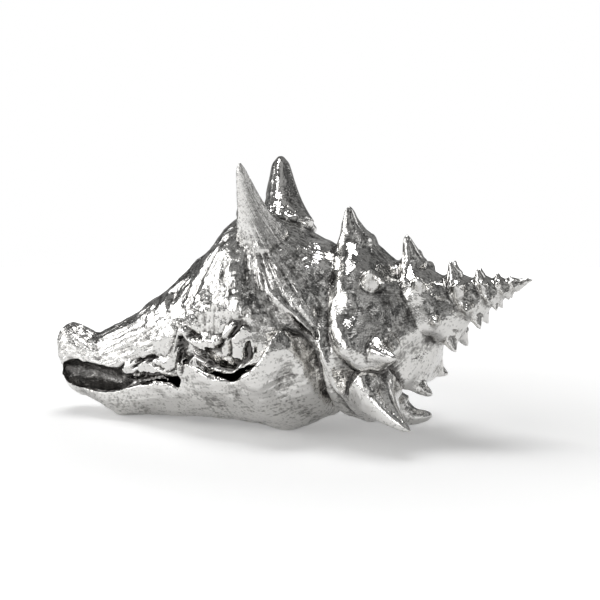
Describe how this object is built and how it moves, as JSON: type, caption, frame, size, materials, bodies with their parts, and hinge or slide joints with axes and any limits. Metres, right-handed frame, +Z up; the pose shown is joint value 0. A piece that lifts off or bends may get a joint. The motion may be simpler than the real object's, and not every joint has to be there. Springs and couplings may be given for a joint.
{
  "type": "silver spiny conch shell ornament",
  "caption": "Large spiral seashell with a row of pointed spines on each turn, a wavy lip, a narrow mouth and an open canal, finished all over in polished silver metal.",
  "frame": {"origin": "centre of the footprint box on the table plane, Z = 0", "axes": "+X towards the pointed tip of the spire, +Z up, the mouth and lip face -Y"},
  "size_m": [0.2086, 0.1038, 0.1168],
  "materials": {
    "shell": "polished silver with darker metal in the recesses"
  },
  "bodies": {
    "root": {"shell": "shell"}
  },
  "joints": []
}
